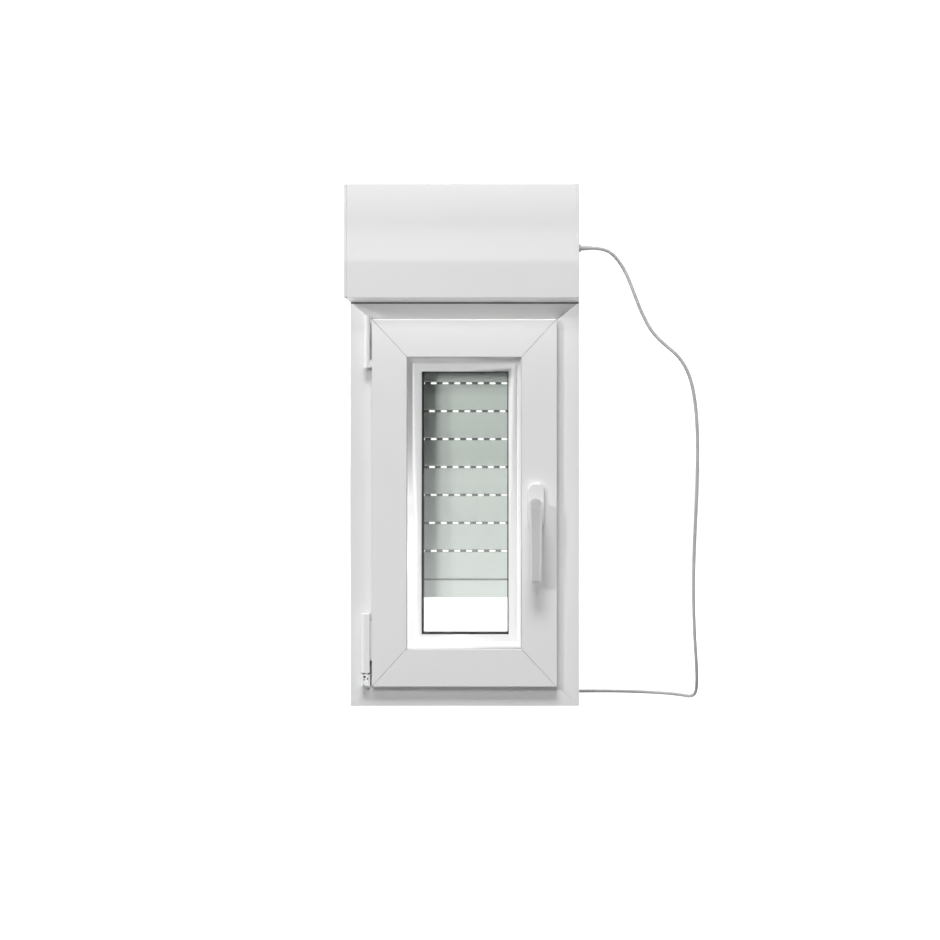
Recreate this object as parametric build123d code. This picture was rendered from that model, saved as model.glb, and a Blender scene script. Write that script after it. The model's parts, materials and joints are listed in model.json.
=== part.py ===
from build123d import *
import math
import os

# Small inward-opening tilt-and-turn window with a motorised roller shutter box on top.
# X runs to the right seen from the room, Y runs outdoors and Z up. The origin is in the middle of the base.
# Sections of bars are written as (inward, y): inward is counted from the outer edge of the ring of bars.

# Fixed frame
FRAME_HALF = 200
FRAME_HEIGHT = 706
FRAME_DEPTH = 70
JAMB_FACE = 47
HEAD_FACE = 39
BOTTOM_FACE = 43
STOP_REACH = 20
STOP_FRONT = 55
WALL = 3
FIXING_RADIUS = 5.25
FIXING_Y = 34
FIXING_Z = (110, 596)

# Sash
SASH_HALF = 161
SASH_BOTTOM = 35
SASH_TOP = 675
STILE_FACE = 61
RAIL_FACE = 66
SASH_FRONT = -18
SASH_BACK = 52
LIP_WIDTH = 20
LIP_BACK = -3
GROOVE = (17, 35)
GROOVE_DEPTH = 5
GLAZING_LIP = 24
GLAZING_LIP_FRONT = 40

# Glazing
BEAD_WIDTH = 24
BEAD_BACK = 12
GASKET_REACH = 26
PANE = 4
PANE_INDOOR_Y = 15
PANE_OUTDOOR_Y = 33
PANE_EDGE_GAP = 5
SPACER_WIDTH = 7

# Hinges: the turning axis is vertical and the tilting axis runs along X
TURN_X = -170
TURN_Y = -12
TILT_Z = 46
PIN_RADIUS = 3
RUNNING_GAP = 0.05

# Handle and locking gear
HANDLE_X = 125
HANDLE_Z = 352
SCREW_SPACING = 43
ROD_TRAVEL = 36
CAM_Y = 26
CAM_RADIUS = 4.5
CAM_Z = (200, 500)

# Shutter box
BOX_BACK = 112
BOX_TOP = 900
BOX_INSIDE = 195
PANEL = 5

# Winding tube and motor, on one axis along X
TUBE_Z = 800
TUBE_FLAT = 30
TUBE_WALL = 1.5
TUBE_X = (-170, 167)
MOTOR_RADIUS = 22.5

# Curtain
CURTAIN_Y = 91
SLAT_HALF_LENGTH = 176.5
SLAT_HALF_THICK = 4.6
SLAT_PITCH = 50
SLAT_COUNT = 13
SLATS_OUTSIDE = 8
NECK_HEIGHT = 5.2
NECK_HALF_THICK = 2.2
SEAM_GAP = 0.3
END_SLAT = (183.3, 217.4)
FIRST_SEAM = 219.6
SLOT_SIZE = (11, 3.6)
SLOT_PITCH = 21.05
SLOTS_A_SIDE = 7
SLOT_SHIFTS = (2.85, -0.25)

# Supply cable
CABLE_RADIUS = 3
GLAND_END = 222
COIL_CENTRE = (150, 165)
COIL_RADII = (29.4, 42.2)
COIL_HEIGHT = 25
COIL_TURNS = ((3.2, 39), (2.4, 32.6))
CORE_OFFSET = -22
CABLE_ROUTE = [
    (222, 0, 800.5),
    (243, 0, 800),
    (263, 0, 787),
    (281, 0, 760),
    (294, 0, 727),
    (308, 0, 690),
    (326, 0, 655),
    (349, 0, 632),
    (375, 0, 611),
    (393, 2, 580),
    (403, 6, 538),
    (408, 12, 478),
    (408, 18, 405),
    (405, 25, 328),
    (402, 32, 250),
    (402, 39, 175),
    (405, 47, 108),
    (409, 58, 58),
    (410, 78, 18),
    (404, 110, 3.4),
    (385, 148, 3.2),
    (350, 180, 3.2),
    (300, 202, 3.2),
    (245, 210, 3.2),
    (200, 206, 3.2),
    (160, 204, 3.2),
]


def block(x, y, z):
    """A box between two limits on each axis."""
    return Pos(sum(x) / 2, sum(y) / 2, sum(z) / 2) * Box(x[1] - x[0], y[1] - y[0], z[1] - z[0])


def rod_x(radius, x, y, z):
    return Pos(sum(x) / 2, y, z) * Rot(0, 90, 0) * Cylinder(radius, x[1] - x[0])


def rod_y(radius, x, y, z):
    return Pos(x, sum(y) / 2, z) * Rot(90, 0, 0) * Cylinder(radius, y[1] - y[0])


def rod_z(radius, x, y, z):
    return Pos(x, y, sum(z) / 2) * Cylinder(radius, z[1] - z[0])


def prism(outline, along):
    """A closed outline, or a face, pushed along a vector."""
    face = outline if isinstance(outline, (Face, Sketch)) else make_face(Polyline(*outline, close=True))
    push = Vector(*along)
    return extrude(face, amount=push.length, dir=push.normalized())


def ring(half, bottom, top, width, y):
    """A flat rectangular ring of one width, in one piece."""
    outer = block((-half, half), y, (bottom, top))
    return outer - block((-half + width, half - width), y, (bottom + width, top - width))


def side_places(half, bottom, top):
    """For each side of a ring: where (inward, y) lies at the start of the bar, and the bar's whole run."""
    return {
        "left": (lambda w, y: (-half + w, y, bottom), (0, 0, top - bottom)),
        "right": (lambda w, y: (half - w, y, bottom), (0, 0, top - bottom)),
        "bottom": (lambda w, y: (-half, y, bottom + w), (2 * half, 0, 0)),
        "top": (lambda w, y: (-half, y, top - w), (2 * half, 0, 0)),
    }


def mitre_mask(side, half, bottom, top, faces, reach):
    """The space of one bar between its two corner seams, which run through the corners of the face."""
    upright, low, high = faces
    left = [(-half, bottom), (-half + upright, bottom + low), (-half + upright + reach, bottom + low + reach)]
    left += [(-half + upright + reach, top - high - reach), (-half + upright, top - high), (-half, top)]
    base = [(-half, bottom), (-half + upright, bottom + low), (-half + upright + reach, bottom + low + reach)]
    base += [(-x, z) for x, z in reversed(base)]
    roof = [(-half, top), (-half + upright, top - high), (-half + upright + reach, top - high - reach)]
    roof += [(-x, z) for x, z in reversed(roof)]
    outline = {"left": left, "right": [(-x, z) for x, z in left], "bottom": base, "top": roof}[side]
    return prism([(x, -60, z) for x, z in outline], (0, 200, 0))


def mitred_bars(half, bottom, top, faces, reach, section):
    """Four bars with welded corners. section(face) gives the outline and the chambers of a bar."""
    bars = {}
    widths = {"left": faces[0], "right": faces[0], "bottom": faces[1], "top": faces[2]}
    for side, (place, run) in side_places(half, bottom, top).items():
        outline, chambers = section(widths[side])
        bar = prism([place(w, y) for w, y in outline], run)
        for chamber in chambers:
            bar -= prism([place(w, y) for w, y in chamber], run)
        bars[side] = bar & mitre_mask(side, half, bottom, top, faces, reach)
    return bars


def rectangle(inward, y):
    return [(inward[0], y[0]), (inward[1], y[0]), (inward[1], y[1]), (inward[0], y[1])]


def frame_section(face):
    outline = [(0, 0), (face, 0), (face, STOP_FRONT), (face + STOP_REACH, STOP_FRONT)]
    outline += [(face + STOP_REACH, FRAME_DEPTH), (0, FRAME_DEPTH)]
    chambers = [
        rectangle((WALL, face - WALL), (WALL, 13)),
        rectangle((WALL, face - 10), (16, 52)),
        rectangle((face - 7.5, face - WALL), (16, 52)),
        rectangle((WALL, face + STOP_REACH - WALL), (58, FRAME_DEPTH - WALL)),
    ]
    return outline, chambers


def sash_section(face):
    reach = face + GLAZING_LIP
    groove_floor = LIP_WIDTH + GROOVE_DEPTH
    outline = [(0, SASH_FRONT), (face, SASH_FRONT), (face, GLAZING_LIP_FRONT), (reach, GLAZING_LIP_FRONT)]
    outline += [(reach, SASH_BACK), (LIP_WIDTH, SASH_BACK), (LIP_WIDTH, GROOVE[1]), (groove_floor, GROOVE[1])]
    outline += [(groove_floor, GROOVE[0]), (LIP_WIDTH, GROOVE[0]), (LIP_WIDTH, LIP_BACK), (0, LIP_BACK)]
    chambers = [
        rectangle((WALL, LIP_WIDTH), (SASH_FRONT + WALL, LIP_BACK - WALL)),
        rectangle((LIP_WIDTH + WALL, face - WALL), (SASH_FRONT + WALL, 13)),
        rectangle((groove_floor + WALL, face - WALL), (16, SASH_BACK - WALL)),
        rectangle((face, reach - WALL), (GLAZING_LIP_FRONT + WALL, SASH_BACK - WALL)),
    ]
    return outline, chambers


def steel_bars(half, bottom, top, faces, inward, y):
    """Square-cut box sections of 1.5 mm steel that stand 0.3 mm clear inside their chambers."""
    bars = {}
    widths = {"left": faces[0], "right": faces[0], "bottom": faces[1], "top": faces[2]}
    for side, (place, run) in side_places(half, bottom, top).items():
        low, high = inward(widths[side])
        outer = rectangle((low + 0.3, high - 0.3), (y[0] + 0.3, y[1] - 0.3))
        inner = rectangle((low + 1.8, high - 1.8), (y[0] + 1.8, y[1] - 1.8))
        bar = prism([place(w, v) for w, v in outer], run) - prism([place(w, v) for w, v in inner], run)
        if run[2]:
            keep = block((-half, half), (-60, 140), (bottom + faces[1] + 6, top - faces[2] - 6))
        else:
            keep = block((-half + faces[0] + 6, half - faces[0] - 6), (-60, 140), (bottom, top))
        bars[side] = bar & keep
    return bars


def fixing_holes(side):
    x = (FRAME_HALF - JAMB_FACE - 1, FRAME_HALF + 1)
    if side < 0:
        x = (-x[1], -x[0])
    return [rod_x(FIXING_RADIUS, x, FIXING_Y, z) for z in FIXING_Z]


def fixed_frame():
    faces = (JAMB_FACE, BOTTOM_FACE, HEAD_FACE)
    bars = mitred_bars(FRAME_HALF, 0, FRAME_HEIGHT, faces, STOP_REACH, frame_section)
    steel = steel_bars(FRAME_HALF, 0, FRAME_HEIGHT, faces, lambda face: (WALL, face - 10), (16, 52))
    for side, sign in (("left", -1), ("right", 1)):
        for hole in fixing_holes(sign):
            bars[side] -= hole
            steel[side] -= hole
    gasket_half = FRAME_HALF - JAMB_FACE - 12.5
    gasket_z = (BOTTOM_FACE + 12.5, FRAME_HEIGHT - HEAD_FACE - 12.5)
    gasket = ring(gasket_half, *gasket_z, 6.5, (SASH_BACK + 0.3, STOP_FRONT))
    keep_x = (FRAME_HALF - JAMB_FACE - 2, FRAME_HALF - JAMB_FACE)
    keeps = [block(keep_x, (12, 40), (z - 20, z + ROD_TRAVEL + 14)) for z in CAM_Z]
    return {
        "frame_jamb_left": bars["left"],
        "frame_jamb_right": bars["right"],
        "frame_head": bars["top"],
        "frame_bottom": bars["bottom"],
        "frame_steel": Compound(children=list(steel.values())),
        "rebate_gasket": gasket,
        "lock_keeps": Compound(children=keeps),
    }


def bead_section(place):
    """Steep next to the sash face, then rounded over into a flatter slope down to the glass."""
    root, brow = place(0.3, BEAD_BACK), place(0.3, SASH_FRONT + 1)
    steep_end, bend, slope_start = place(8.5, -3), place(10.2, -0.8), place(12.4, 0.9)
    toe, foot = place(BEAD_WIDTH, 8), place(BEAD_WIDTH, BEAD_BACK)
    lines = [Line(root, brow), Line(brow, steep_end), ThreePointArc(steep_end, bend, slope_start)]
    lines += [Line(slope_start, toe), Line(toe, foot), Line(foot, root)]
    return make_face(Wire(lines))


def glazing():
    half, bottom, top = SASH_HALF - STILE_FACE, SASH_BOTTOM + RAIL_FACE, SASH_TOP - RAIL_FACE
    beads = []
    chamber = [(3, -8), (9, 3), (17, 7.5), (17, 9.5), (3, 9.5)]
    for side, (place, run) in side_places(half, bottom, top).items():
        bead = prism(bead_section(place), run) - prism([place(w, y) for w, y in chamber], run)
        beads.append(bead & mitre_mask(side, half, bottom, top, (BEAD_WIDTH,) * 3, 0.01))
    pane_half, pane_z = half - PANE_EDGE_GAP, (bottom + PANE_EDGE_GAP, top - PANE_EDGE_GAP)
    pane_x = (-pane_half, pane_half)
    spacer_y = (PANE_INDOOR_Y + PANE, PANE_OUTDOOR_Y)
    spacer = ring(pane_half - 4, pane_z[0] + 4, pane_z[1] - 4, SPACER_WIDTH, spacer_y)
    hollow_y = (spacer_y[0] + 1, spacer_y[1] - 1)
    spacer -= ring(pane_half - 5, pane_z[0] + 5, pane_z[1] - 5, SPACER_WIDTH - 2, hollow_y)
    gaskets = []
    for y in ((BEAD_BACK, PANE_INDOOR_Y), (PANE_OUTDOOR_Y + PANE, GLAZING_LIP_FRONT)):
        inset = 16
        gaskets.append(ring(half - inset, bottom + inset, top - inset, GASKET_REACH - inset, y))
    return {
        "glazing_beads": Compound(children=beads),
        "pane_indoor": block(pane_x, (PANE_INDOOR_Y, PANE_INDOOR_Y + PANE), pane_z),
        "pane_outdoor": block(pane_x, (PANE_OUTDOOR_Y, PANE_OUTDOOR_Y + PANE), pane_z),
        "glass_spacer": spacer,
        "glazing_gaskets": Compound(children=gaskets),
    }


def spindle_bar(size, y):
    return block((HANDLE_X - size / 2, HANDLE_X + size / 2), y, (HANDLE_Z - size / 2, HANDLE_Z + size / 2))


def screw_levels():
    return (HANDLE_Z - SCREW_SPACING / 2, HANDLE_Z + SCREW_SPACING / 2)


def sash():
    faces = (STILE_FACE, RAIL_FACE, RAIL_FACE)
    bars = mitred_bars(SASH_HALF, SASH_BOTTOM, SASH_TOP, faces, GLAZING_LIP, sash_section)
    chamber = (SASH_FRONT + WALL, 13)

    def inward(face):
        return (LIP_WIDTH + WALL, face - WALL)

    steel = steel_bars(SASH_HALF, SASH_BOTTOM, SASH_TOP, faces, inward, chamber)
    gear_room = block((110.7, 136.3), (15, 36), (HANDLE_Z - 55.5, HANDLE_Z + 55.5))
    gear_holes = [rod_y(6, HANDLE_X, (SASH_FRONT - 1, 20), HANDLE_Z)]
    gear_holes += [rod_y(3, HANDLE_X, (SASH_FRONT - 1, 20), z) for z in screw_levels()]
    bars["right"] -= gear_room
    for hole in gear_holes:
        bars["right"] -= hole
        steel["right"] -= hole
    return {
        "sash_stile_left": bars["left"],
        "sash_stile_right": bars["right"],
        "sash_rail_top": bars["top"],
        "sash_rail_bottom": bars["bottom"],
        "sash_steel": Compound(children=list(steel.values())),
    }


def locking_gear():
    """Gearbox and face plate on the sash edge, and the rod behind the plate with its locking cams."""
    edge = SASH_HALF - LIP_WIDTH
    plate = block((edge - 2, edge), (GROOVE[0] + 0.3, GROOVE[1] - 0.3), (120, 620))
    for z in CAM_Z:
        plate -= block((edge - 3, edge + 1), (CAM_Y - 4.9, CAM_Y + 4.9), (z - 5, z + ROD_TRAVEL + 5))
    case = block((111, 136), (18, 34), (HANDLE_Z - 55, HANDLE_Z + 55))
    case -= rod_y(9 + RUNNING_GAP, HANDLE_X, (17, 35), HANDLE_Z)
    for z in screw_levels():
        case -= rod_y(2.45, HANDLE_X, (17, 35), z)
    rod = block((edge - 4.5, edge - 2.5), (CAM_Y - 5, CAM_Y + 5), (150, 560))
    for z in CAM_Z:
        rod += rod_x(CAM_RADIUS, (edge - 3, edge + 7), CAM_Y, z)
    return {"lock_gearbox": Compound(children=[plate, case]), "drive_rod": rod}


def lever_side():
    """Side view of the lever, as wide as needed: its front curves back towards the foot."""
    x, back, front, foot_front = HANDLE_X - 20, -48, -65, -57
    top, straight_to, foot = HANDLE_Z + 20, HANDLE_Z - 20, HANDLE_Z - 140
    curve = ThreePointArc((x, front, straight_to), (x, -63.2, HANDLE_Z - 80), (x, foot_front, foot))
    edges = [Line((x, back, top), (x, front, top)), Line((x, front, top), curve @ 0), curve]
    edges += [Line(curve @ 1, (x, back, foot)), Line((x, back, foot), (x, back, top))]
    return prism(make_face(Wire(edges)), (40, 0, 0))


def handle():
    base_y = SASH_FRONT - 10
    rosette = Plane.XZ.offset(-SASH_FRONT) * Pos(HANDLE_X, HANDLE_Z - 2) * RectangleRounded(29, 80, 14.4)
    rosette = extrude(rosette, amount=10)
    rosette = fillet(rosette.faces().sort_by(Axis.Y)[0].edges(), 3)
    rosette -= rod_y(5.4, HANDLE_X, (base_y - 1, SASH_FRONT + 1), HANDLE_Z)
    screws = []
    for z in screw_levels():
        rosette -= rod_y(2.6, HANDLE_X, (base_y - 1, SASH_FRONT + 1), z)
        rosette -= rod_y(5, HANDLE_X, (base_y - 1, base_y + 3.5), z)
        head = rod_y(4.6, HANDLE_X, (base_y + 0.6, base_y + 3), z)
        screws.append(rod_y(2.4, HANDLE_X, (base_y + 2, 30), z) + head)
    foot = HANDLE_Z - 129
    rounds = [(HANDLE_X, HANDLE_Z, 11.5), (HANDLE_X - 5, foot, 5), (HANDLE_X + 5, foot, 5)]
    circles = [Pos(x, z) * Circle(r) for x, z, r in rounds]
    grip = Plane.XZ.offset(48) * make_hull([edge for circle in circles for edge in circle.edges()])
    grip = extrude(grip, amount=17) & lever_side()
    grip = chamfer(grip.faces().sort_by(Axis.Y)[0].edges(), 4.2)
    lever = grip + rod_y(9, HANDLE_X, (-50, base_y - 0.3), HANDLE_Z)
    lever -= spindle_bar(7.1, (-46.2, 0))
    follower = rod_y(9, HANDLE_X, (18.5, 33.5), HANDLE_Z) - spindle_bar(7.1, (0, 50))
    return {
        "handle_rosette": rosette,
        "handle_screws": Compound(children=screws),
        "handle_lever": lever,
        "handle_spindle": Compound(children=[spindle_bar(7, (-46, 34)), follower]),
    }


def shell_sector(outer, inner, start, end, z):
    """Part of a thin tube on the turning axis, between two angles counted from +X towards +Y."""
    reach = 3 * outer
    corners = [(TURN_X, TURN_Y, z[0])]
    steps = math.ceil((end - start) / 60)
    for i in range(steps + 1):
        angle = math.radians(start + (end - start) * i / steps)
        corners.append((TURN_X + reach * math.cos(angle), TURN_Y + reach * math.sin(angle), z[0]))
    tube = rod_z(outer, TURN_X, TURN_Y, z) - rod_z(inner, TURN_X, TURN_Y, z)
    return tube & prism(corners, (0, 0, z[1] - z[0]))


def top_hinge():
    """The sash's pin turns in a half ring on the frame, which is open towards the room for tilting."""
    bearing_z = (612, 650)
    bearing = shell_sector(4.3, PIN_RADIUS + RUNNING_GAP, 0, 180, bearing_z)
    bearing += block((TURN_X - 2.3, TURN_X + 2.3), (TURN_Y + 4, 0), bearing_z)
    bearing += block((TURN_X - 5.5, TURN_X + 5.5), (-2.5, 0), (608, 670))
    cover = rod_z(5.8, TURN_X, TURN_Y, (591, 606)) + rod_z(5.8, TURN_X, TURN_Y, (677, 681))
    cover += rod_z(PIN_RADIUS, TURN_X, TURN_Y, (600, 680))
    cover += shell_sector(5.8, 4.6, 218, 350, (605, 678))
    cover += block((TURN_X + 3, -SASH_HALF), (-15, -8), (592, 604))
    return {"hinge_top_bearing": bearing, "hinge_top_cover": cover}


def bottom_hinge():
    """The pivot block tilts between the cheeks of the bracket and carries the pin that the sash turns on."""
    cheeks = ((-180, -176.5), (-166.6, -164.5))
    bracket = block((-180, -164.5), (-3, 0), (35.5, 57))
    for cheek in cheeks:
        bracket += block(cheek, (-18, -3), (35.5, 57))
        bracket -= rod_x(2.5 + RUNNING_GAP, (cheek[0] - 1, cheek[1] + 1), TURN_Y, TILT_Z)
    pivot = block((-176.2, -166.9), (-17.5, -6.5), (39.5, 56.5))
    pivot += rod_x(2.5, (-179.8, -164.7), TURN_Y, TILT_Z)
    pivot += rod_z(PIN_RADIUS, TURN_X, TURN_Y, (56, 110))
    cover_z = (59, 163)
    cover = rod_z(7.5, -173, TURN_Y, cover_z) + block((-173, -164.5), (TURN_Y - 7.5, TURN_Y + 7.5), cover_z)
    cover = fillet(cover.faces().sort_by(Axis.Z)[-1].edges(), 2)
    cover += block((-166, -SASH_HALF), (-15, -6), (80, 150))
    cover -= rod_z(PIN_RADIUS + RUNNING_GAP, TURN_X, TURN_Y, (50, 111))
    return {"hinge_bottom_bracket": bracket, "hinge_bottom_pivot": pivot, "hinge_bottom_cover": cover}


def front_line(inset, x):
    """The box's front from the bottom up: upright, rounded back into a slope, a crease, then a long curve."""
    low, high = FRAME_HEIGHT, BOX_TOP
    points = [(-112, low), (-112, 762), (-111.8, 769), (-111.1, 776)]
    points += [(-107.3, 816), (-106.1, 858), (-103, high)]
    p = [(x, y + inset, z) for y, z in points]
    return [Line(p[0], p[1]), ThreePointArc(p[1], p[2], p[3]), Line(p[3], p[4]), ThreePointArc(p[4], p[5], p[6])]


def shutter_box():
    run = (2 * BOX_INSIDE, 0, 0)
    start = -BOX_INSIDE
    proud = 0.8
    outer, inner = front_line(proud, start), front_line(proud + PANEL, start)
    ends = [Line(outer[0] @ 0, inner[0] @ 0), Line(outer[-1] @ 1, inner[-1] @ 1)]
    front = prism(make_face(Wire(outer + inner + ends)), run)
    top_front = -103 + proud + PANEL + 0.1
    shell = [(top_front, BOX_TOP - PANEL), (BOX_BACK - PANEL, BOX_TOP - PANEL), (BOX_BACK - PANEL, FRAME_HEIGHT)]
    shell += [(BOX_BACK, FRAME_HEIGHT), (BOX_BACK, BOX_TOP), (top_front, BOX_TOP)]
    shell = prism([(start, y, z) for y, z in shell], run)
    bottom = block((start, BOX_INSIDE), (-112 + proud + PANEL + 0.1, 78), (FRAME_HEIGHT, FRAME_HEIGHT + PANEL))
    foam = [(-97, 711.3), (76, 711.3), (76, 721), (-80, 721), (-80, 893), (-97, 893)]
    foam = prism([(-172, y, z) for y, z in foam], (330, 0, 0))
    caps = {}
    for name, x in (("left", -FRAME_HALF), ("right", BOX_INSIDE)):
        edge = front_line(0, x)
        back = Polyline(edge[-1] @ 1, (x, BOX_BACK, BOX_TOP), (x, BOX_BACK, FRAME_HEIGHT), edge[0] @ 0)
        caps[name] = prism(make_face(Wire(edge + back.edges())), (PANEL, 0, 0))
    caps["right"] -= rod_x(4.1, (BOX_INSIDE - 1, FRAME_HALF + 1), 0, TUBE_Z + 0.5)
    return {
        "box_front_panel": front,
        "box_shell": shell,
        "box_bottom_panel": bottom,
        "box_insulation": foam,
        "box_endcap_left": caps["left"],
        "box_endcap_right": caps["right"],
    }


def guide_rails():
    """Channels that the curtain's ends run in, lined with brush seals, behind the jambs."""
    rails, seals = {}, []
    outline = [(200, 70), (155, 70), (155, 83), (179, 83), (179, 99), (155, 99), (155, 112), (200, 112)]
    chambers = [[(197, 73), (182, 73), (182, 109), (197, 109)], [(179, 73), (158, 73), (158, 80), (179, 80)]]
    chambers.append([(179, 102), (158, 102), (158, 109), (179, 109)])
    for name, sign in (("left", -1), ("right", 1)):
        rail = prism([(sign * x, y, 0) for x, y in outline], (0, 0, FRAME_HEIGHT))
        for chamber in chambers:
            rail -= prism([(sign * x, y, 0) for x, y in chamber], (0, 0, FRAME_HEIGHT))
        rails[f"guide_rail_{name}"] = rail
        seal_x = sorted((sign * 156, sign * 170))
        seals += [block(seal_x, y, (2, FRAME_HEIGHT - 2)) for y in ((83, 86), (96, 99))]
    return {**rails, "brush_seals": Compound(children=seals)}


def on_tube_axis(sketch, x):
    """A sketch around the tube's axis, made solid between two places along X."""
    return extrude(Plane.YZ.offset(x[0]) * Pos(0, TUBE_Z) * sketch, amount=x[1] - x[0])


def octagon(flat):
    return RegularPolygon(flat, 8, major_radius=False, rotation=22.5)


def drive():
    """Tubular motor held at the right end; tube, crown, drive wheel and idler cap turn around it."""
    motor = on_tube_axis(Circle(MOTOR_RADIUS), (-61, 169)) + on_tube_axis(Circle(29), (168.5, 184))
    motor += on_tube_axis(RectangleRounded(12, 12, 1), (183, 192))
    motor -= on_tube_axis(Circle(6 + RUNNING_GAP), (-62, -48))
    motor_bracket = on_tube_axis(RectangleRounded(70, 70, 6) - RectangleRounded(12.2, 12.2, 1), (186, 195))
    inside = TUBE_FLAT - TUBE_WALL
    plug = inside - 0.1
    tube = on_tube_axis(octagon(TUBE_FLAT) - octagon(inside), TUBE_X)
    crown = on_tube_axis(octagon(plug) - Circle(MOTOR_RADIUS + 0.4), (141, 166))
    wheel = on_tube_axis(octagon(plug), (-76, -62)) + on_tube_axis(Circle(6), (-63, -50))
    cap = on_tube_axis(octagon(plug), (-170.5, -145)) + on_tube_axis(Circle(33), (-172, -170.05))
    cap += on_tube_axis(Circle(6), (-188, -171))
    bearing = on_tube_axis(Circle(13) - Circle(6 + RUNNING_GAP), (-188.5, -178))
    idler = on_tube_axis(RectangleRounded(60, 60, 6), (-195, -189)) + on_tube_axis(Circle(16), (-190, -176))
    idler -= on_tube_axis(Circle(13.02), (-189, -170))
    return {
        "motor": motor,
        "motor_bracket": motor_bracket,
        "winding_tube": tube,
        "motor_crown": crown,
        "drive_wheel": wheel,
        "idler_cap": cap,
        "idler_bearing": bearing,
        "idler_bracket": idler,
    }


def slat(low, high, shift):
    """A hollow curved slat with a thin neck on top; the neck has a row of slots for air and light."""
    middle, shoulder = (low + high - NECK_HEIGHT) / 2, high - NECK_HEIGHT
    x = -SLAT_HALF_LENGTH

    def at(offset, z):
        return (x, CURTAIN_Y + offset, z)

    def barrel(edge, belly, z0, z1):
        lines = [ThreePointArc(at(-edge, z0), at(-belly, middle), at(-edge, z1))]
        lines += [Line(at(-edge, z1), at(edge, z1))]
        lines += [ThreePointArc(at(edge, z1), at(belly, middle), at(edge, z0))]
        lines += [Line(at(edge, z0), at(-edge, z0))]
        return prism(make_face(Wire(lines)), (2 * SLAT_HALF_LENGTH, 0, 0))

    body = barrel(3, SLAT_HALF_THICK, low, shoulder)
    body -= barrel(2, SLAT_HALF_THICK - 1, low + 1.2, shoulder - 1.2)
    neck_y = (CURTAIN_Y - NECK_HALF_THICK, CURTAIN_Y + NECK_HALF_THICK)
    neck = block((-SLAT_HALF_LENGTH, SLAT_HALF_LENGTH), neck_y, (shoulder, high))
    level = high - NECK_HEIGHT / 2
    for i in range(-SLOTS_A_SIDE, SLOTS_A_SIDE + 1):
        hole = Plane.XZ.offset(-neck_y[1] - 1) * Pos(shift + i * SLOT_PITCH, level) * SlotOverall(*SLOT_SIZE)
        neck -= extrude(hole, amount=2 * NECK_HALF_THICK + 2)
    return body + neck


def curtain():
    parts, rolled = {}, []
    for i in range(SLAT_COUNT):
        low = END_SLAT[1] + SEAM_GAP if i == 0 else FIRST_SEAM + SLAT_PITCH * i + SEAM_GAP
        piece = slat(low, FIRST_SEAM + SLAT_PITCH * (i + 1), SLOT_SHIFTS[i % 2])
        if i < SLATS_OUTSIDE:
            parts[f"slat_{i + 1:02d}"] = piece
        else:
            rolled.append(piece)
    parts["slats_in_box"] = Compound(children=rolled)
    low, high = END_SLAT
    end = block((-SLAT_HALF_LENGTH, SLAT_HALF_LENGTH), (CURTAIN_Y - 4, CURTAIN_Y + 4), (low + 5, high))
    end += block((-150, 150), (CURTAIN_Y - 3, CURTAIN_Y + 3), (low, low + 6))
    for x in (-120, 120):
        end += block((x - 12, x + 12), (CURTAIN_Y + 3.5, CURTAIN_Y + 10), (low + 8, low + 20))
    parts["end_slat"] = end
    top = FIRST_SEAM + SLAT_PITCH * SLAT_COUNT + SEAM_GAP
    strip = [(91.6, top), (91.6, 882), (62, 884), (12, 832.8), (-8, 832.8)]
    strip += [(-8, 831.6), (12.5, 831.6), (62.4, 882.8), (90.4, 880.8), (90.4, top)]
    strips = [prism([(x - 12, y, z) for y, z in strip], (24, 0, 0)) for x in (-110, 0, 110)]
    parts["hangers"] = Compound(children=strips)
    return parts


def bend_radii(route):
    """Each bend takes 0.45 of its shorter run, so that the arcs nearly meet."""
    radii = []
    points = [Vector(*point) for point in route]
    for before, corner, after in zip(points, points[1:], points[2:]):
        turn = math.radians((corner - before).get_angle(after - corner))
        shorter = min((corner - before).length, (after - corner).length)
        radii.append(0.45 * shorter / math.tan(turn / 2))
    return radii


def supply_cable():
    level = TUBE_Z + 0.5
    gland = rod_x(4, (BOX_INSIDE + 0.3, FRAME_HALF), 0, level) + rod_x(7, (FRAME_HALF, FRAME_HALF + 3), 0, level)
    taper = Pos((FRAME_HALF + 3 + GLAND_END) / 2, 0, level) * Rot(0, 90, 0)
    gland += taper * Cone(4.6, 3.3, GLAND_END - FRAME_HALF - 3)
    radii = bend_radii(CABLE_ROUTE)
    path = FilletPolyline(*CABLE_ROUTE, radius=radii)
    start = Plane(origin=path @ 0, z_dir=path % 0)
    tube = sweep(start * Circle(CABLE_RADIUS), path=path)
    coiled = sum(2 * math.pi * count * radius for count, radius in COIL_TURNS)
    print("bend radii", [round(r) for r in radii])
    print("free cable", round(path.length), "coiled", round(coiled), "all", round(path.length + coiled))
    straight_volume = math.pi * CABLE_RADIUS**2 * path.length
    print("tube volume over section times length", round(tube.volume / straight_volume, 4))
    x, y = COIL_CENTRE
    coil = rod_z(COIL_RADII[1], x, y, (0.2, COIL_HEIGHT)) - rod_z(COIL_RADII[0], x, y, (0, COIL_HEIGHT + 1))
    cores = []
    for offset in (-2.2, 0, 2.2):
        level = (y + CORE_OFFSET + offset, 3.2)
        cores.append((rod_x(0.8, (126, 158), *level) + rod_x(0.6, (157, 166), *level)) - coil)
    return {
        "cable_gland": gland,
        "cable": tube - coil,
        "cable_coil": coil,
        "cable_cores": Compound(children=cores),
    }


def main():
    os.makedirs("parts", exist_ok=True)
    groups = [fixed_frame, sash, glazing, locking_gear, handle, top_hinge, bottom_hinge]
    groups += [shutter_box, guide_rails, drive, curtain, supply_cable]
    for group in groups:
        for name, shape in group().items():
            export_step(shape, f"parts/{name}.step")


main()
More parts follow.
